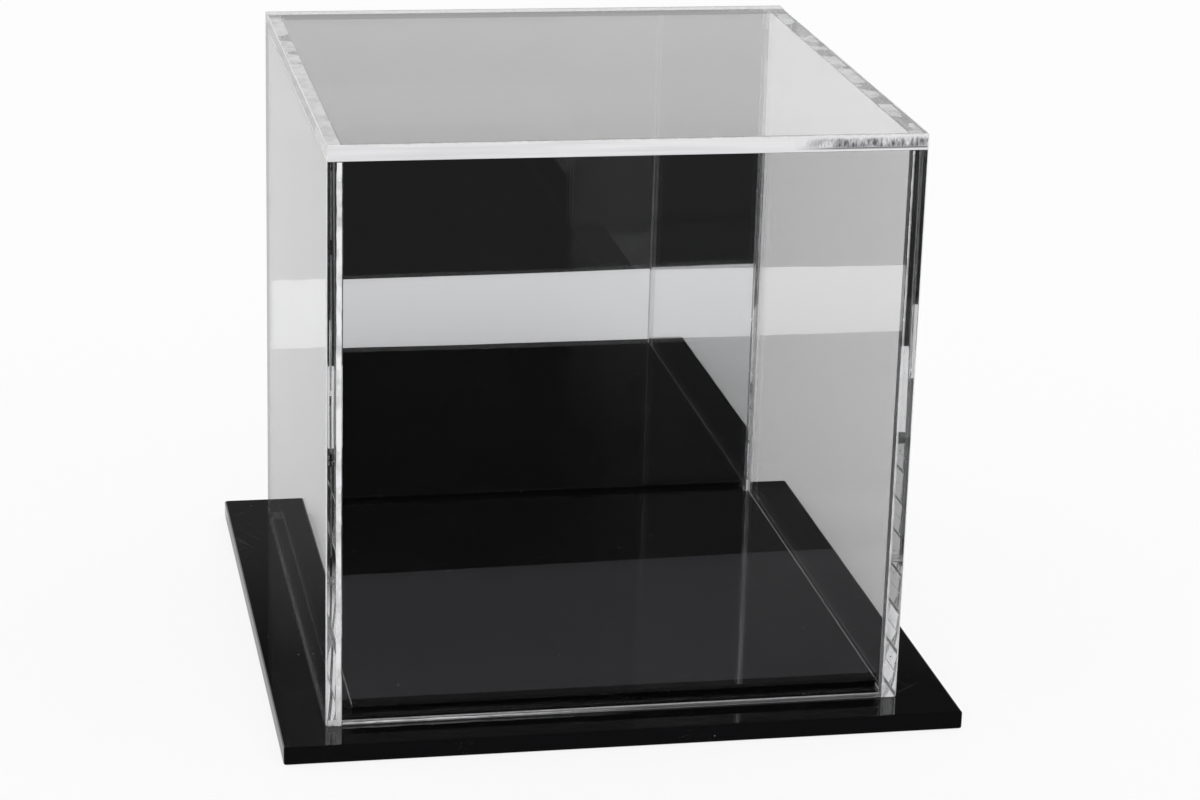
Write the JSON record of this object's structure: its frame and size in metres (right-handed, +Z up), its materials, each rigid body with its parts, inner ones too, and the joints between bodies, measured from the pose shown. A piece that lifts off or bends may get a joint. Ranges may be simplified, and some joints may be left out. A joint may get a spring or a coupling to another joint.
{
  "type": "acrylic display case",
  "caption": "Small cube display case: clear acrylic cover with a mirror back that lifts straight off a black acrylic base with a raised platform.",
  "frame": {"origin": "middle of the base plate's underside, on the surface that the case stands on", "axes": "+Z up, the way the cover lifts; -Y is the clear front, +Y the mirror back; +X is to the right seen from the front"},
  "size_m": [0.1272, 0.1298, 0.1127],
  "materials": {
    "black_acrylic": "gloss, polished edges",
    "clear_acrylic": "clear gloss, polished edges",
    "mirror_acrylic": "clear gloss",
    "mirror_coat": "reflective towards the front, grey paint behind"
  },
  "bodies": {
    "base": {"base_plate": "black_acrylic", "platform": "black_acrylic"},
    "cover": {"left_panel": "clear_acrylic", "right_panel": "clear_acrylic", "front_panel": "clear_acrylic", "mirror_panel": "mirror_acrylic", "mirror_backing": "mirror_coat", "top_panel": "clear_acrylic"}
  },
  "joints": [
    {"name": "cover_lift", "type": "slide", "parent": "base", "child": "cover", "axis": [0, 0, 1], "range_m": [0, 0.125]}
  ]
}
